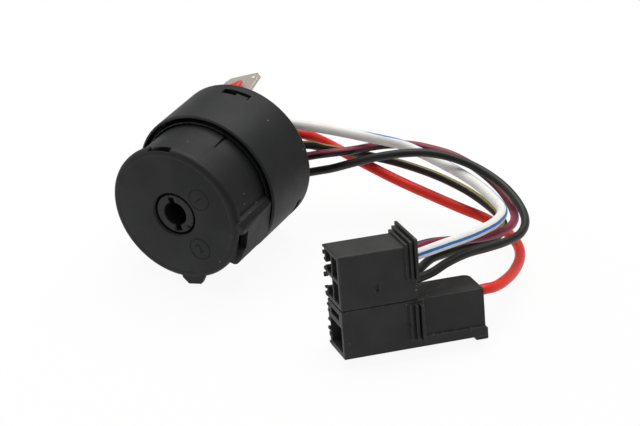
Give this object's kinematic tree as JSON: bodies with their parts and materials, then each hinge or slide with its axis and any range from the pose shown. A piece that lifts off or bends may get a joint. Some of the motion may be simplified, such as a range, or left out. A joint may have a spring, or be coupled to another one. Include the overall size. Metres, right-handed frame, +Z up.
{
  "type": "ignition switch",
  "caption": "Round plastic ignition switch with a slotted key drive in its face, a rear cap, a supply tab and short wires that end in a connector.",
  "frame": {"origin": "on the surface that the switch lies on, under the middle of the switch body without its wires and connector", "axes": "+Y along the switch's axis from the drive face to the rear, +Z up, +X to the right when the drive face is looked at"},
  "size_m": [0.0966, 0.0763, 0.038],
  "materials": {
    "black_plastic": "moulded black plastic, matt",
    "rotor_plastic": "moulded black plastic, matt",
    "connector_plastic": "moulded black plastic, fine texture",
    "base_plastic": "moulded brown resin, matt",
    "tinned_metal": "tinned copper alloy, dull",
    "contact_copper": "stamped copper alloy",
    "spring_steel": "spring steel",
    "red_sleeve": "soft red plastic",
    "insulation_white": "wire insulation, white with a blue stripe",
    "insulation_red": "wire insulation, red",
    "insulation_black": "wire insulation, black",
    "insulation_black_yellow": "wire insulation, black with a dull yellow stripe",
    "insulation_violet": "wire insulation, violet with a black stripe"
  },
  "bodies": {
    "switch_body": {"front_housing": "black_plastic", "rear_cap": "black_plastic", "detent_plunger": "spring_steel", "detent_spring": "spring_steel", "return_spring": "spring_steel", "terminal_base": "base_plastic", "fixed_contact_1": "contact_copper", "fixed_contact_2": "contact_copper", "fixed_contact_3": "contact_copper", "fixed_contact_4": "contact_copper", "fixed_contact_5": "contact_copper", "supply_tab": "tinned_metal", "supply_tab_sleeve": "red_sleeve", "wire_white_blue": "insulation_white", "wire_red": "insulation_red", "wire_black": "insulation_black", "wire_black_yellow": "insulation_black_yellow", "wire_violet_black": "insulation_violet", "connector_housing": "connector_plastic", "connector_side_housing": "connector_plastic", "receptacle_1": "tinned_metal", "receptacle_2": "tinned_metal", "receptacle_3": "tinned_metal", "receptacle_4": "tinned_metal", "receptacle_5": "tinned_metal"},
    "rotor_body": {"rotor": "rotor_plastic", "contact_carrier": "base_plastic", "moving_contact_1": "contact_copper", "moving_contact_2": "contact_copper", "moving_contact_3": "contact_copper", "contact_spring_1": "spring_steel", "contact_spring_2": "spring_steel", "contact_spring_3": "spring_steel"}
  },
  "joints": [
    {"name": "rotor_turn", "type": "hinge", "parent": "switch_body", "child": "rotor_body", "pos_m": [0, -0.0223, 0.019], "axis": [0, 1, 0], "range_deg": [0, 105]}
  ]
}
